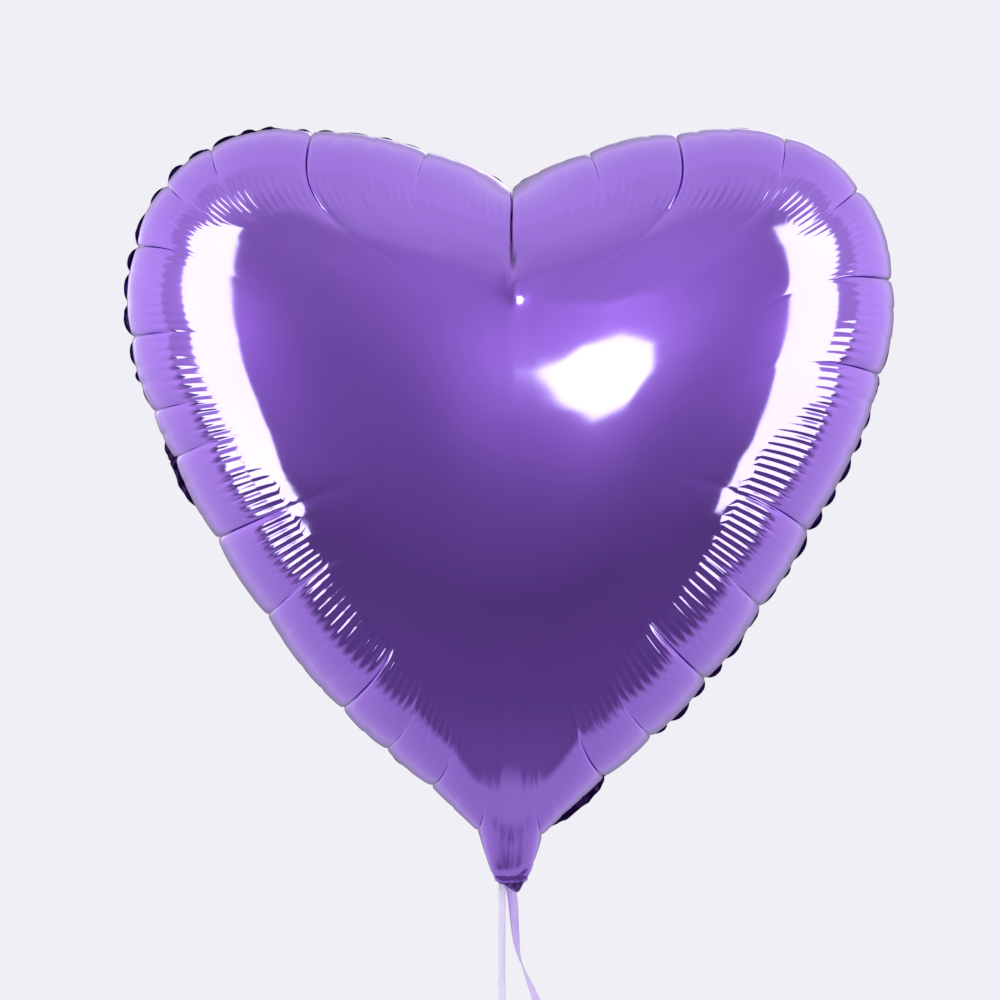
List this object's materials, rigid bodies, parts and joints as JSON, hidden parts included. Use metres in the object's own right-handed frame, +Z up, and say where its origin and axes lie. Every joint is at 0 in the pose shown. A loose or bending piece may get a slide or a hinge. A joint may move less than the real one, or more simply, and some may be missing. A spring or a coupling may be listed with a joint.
{
  "type": "foil balloon",
  "caption": "Inflated heart-shaped foil balloon with a welded rim, a tied neck, a folded tail flap and a curling ribbon.",
  "frame": {"origin": "middle of the neck where the ribbon is tied, in the plane of the weld", "axes": "+Z up along the heart, +Y towards its back, +X to the right as seen from the front; the front faces -Y"},
  "size_m": [0.364, 0.1682, 0.4778],
  "materials": {
    "foil": "polished",
    "valve_film": "gloss",
    "ribbon": "satin"
  },
  "bodies": {
    "envelope": {"front_foil": "foil", "back_foil": "foil", "valve_film_front": "valve_film", "valve_film_back": "valve_film", "tail_tied_fold": "foil", "ribbon_neck_band": "ribbon"},
    "tail_flap": {"tail_flap_near_film": "foil", "valve_mouth_near_film": "valve_film", "valve_mouth_far_film": "valve_film", "tail_flap_far_film": "foil"},
    "knot": {"ribbon_knot": "ribbon"},
    "held_ribbon": {"ribbon_held_strand": "ribbon", "ribbon_hand_knot": "ribbon", "ribbon_hand_loop": "ribbon"},
    "free_ribbon": {"ribbon_free_strand": "ribbon"}
  },
  "joints": [
    {"name": "tail_flap_bend", "type": "hinge", "parent": "envelope", "child": "tail_flap", "pos_m": [0, 0.00567, 0.0085], "axis": [-1, 0, 0], "range_deg": [0, 50]},
    {"name": "ribbon_swing_fore_aft", "type": "hinge", "parent": "envelope", "child": "knot", "pos_m": [-0.0018, 0.00545, 0.0024], "axis": [1, 0, 0], "range_deg": [-15, 60]},
    {"name": "held_ribbon_swing_sideways", "type": "hinge", "parent": "knot", "child": "held_ribbon", "pos_m": [-0.0018, 0.00545, 0.0024], "axis": [0, -1, 0], "range_deg": [-35, 35]},
    {"name": "free_ribbon_swing_sideways", "type": "hinge", "parent": "knot", "child": "free_ribbon", "pos_m": [-0.0018, 0.00545, 0.0024], "axis": [0, -1, 0], "range_deg": [-35, 35]}
  ]
}
